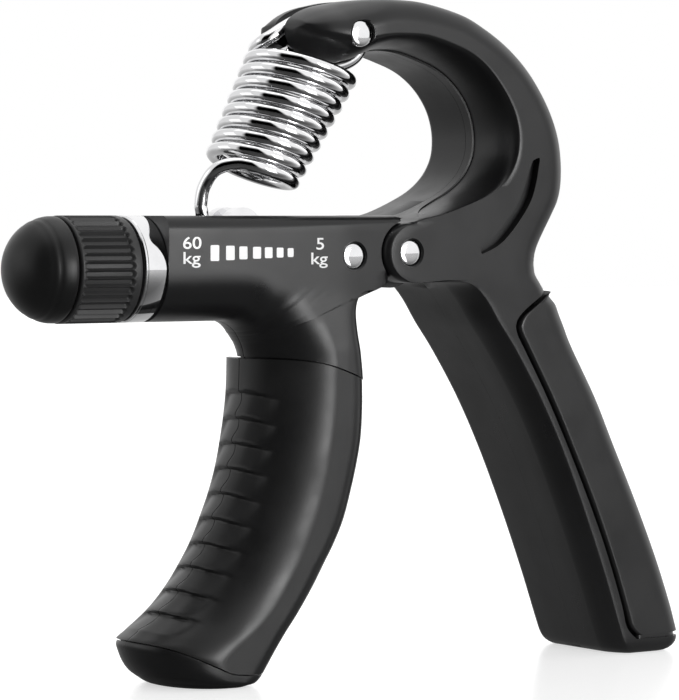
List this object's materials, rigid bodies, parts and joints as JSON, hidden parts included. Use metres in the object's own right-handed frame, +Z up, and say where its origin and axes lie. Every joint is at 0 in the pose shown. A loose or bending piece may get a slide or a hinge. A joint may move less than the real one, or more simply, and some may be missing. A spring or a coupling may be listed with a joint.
{
  "type": "hand grip strengthener",
  "caption": "Hand exerciser with hinged handles, a coil tension spring and a ribbed knob that moves the spring's lower end to set the pull.",
  "frame": {"origin": "middle of the overall box, on the surface that the two handle ends stand on", "axes": "+X from the knob towards the palm handle, +Y towards the back, +Z up, with the printed side facing -Y"},
  "size_m": [0.1616, 0.028, 0.1404],
  "materials": {
    "body_plastic": "dark grey moulded plastic, satin",
    "grip_plastic": "dark grey soft-touch cover, satin",
    "knob_plastic": "black, semi-gloss",
    "chrome": "polished",
    "steel": "turned",
    "brass": "turned"
  },
  "bodies": {
    "frame": {"frame_front": "body_plastic", "frame_back": "body_plastic", "palm_pad": "grip_plastic", "anchor_pin": "chrome", "pivot_pin": "chrome"},
    "lever": {"lever_front": "body_plastic", "lever_back": "body_plastic", "grip_front": "grip_plastic", "grip_back": "grip_plastic", "grip_foot": "body_plastic", "pivot_bush": "steel", "screw_bearing": "body_plastic", "bearing_pin": "chrome", "collar_ring": "chrome"},
    "knob": {"tension_knob": "knob_plastic", "knob_cap": "knob_plastic", "lead_screw": "steel", "screw_clip": "steel", "thrust_washer": "brass"},
    "nut": {"travel_nut": "chrome", "hook_pin": "steel"},
    "anchor_bush": {"anchor_bush": "steel"},
    "spring": {"tension_spring": "chrome"}
  },
  "joints": [
    {"name": "lever_squeeze", "type": "hinge", "parent": "frame", "child": "lever", "pos_m": [0.00675, 0, 0.0878], "axis": [0, -1, 0], "range_deg": [0, 32], "stiffness_Nm_per_rad": 4, "springref_deg": -5.73},
    {"name": "knob_turn", "type": "hinge", "parent": "lever", "child": "knob", "pos_m": [-0.062, 0, 0.08475], "axis": [-1, 0, 0], "range_deg": [0, 1980]},
    {"name": "nut_slide", "type": "slide", "parent": "lever", "child": "nut", "axis": [1, 0, 0], "range_m": [0, 0.0111]},
    {"name": "spring_swing", "type": "hinge", "parent": "frame", "child": "anchor_bush", "pos_m": [-0.00505, 0, 0.1329], "axis": [0, -1, 0], "range_deg": [0, 13.2]},
    {"name": "spring_stretch", "type": "hinge", "parent": "anchor_bush", "child": "spring", "pos_m": [0.02795, 0, 0.0921], "axis": [0, -1, 0], "range_deg": [0, 20.1], "deforming": ["tension_spring"]}
  ],
  "couplings": [
    {"joint": "nut_slide", "follows": "knob_turn", "m_per_rad": 0.00031831},
    {"joint": "spring_swing", "follows": "knob_turn", "ratio": 0.0065758},
    {"joint": "spring_stretch", "follows": "lever_squeeze", "ratio": 0.625}
  ]
}
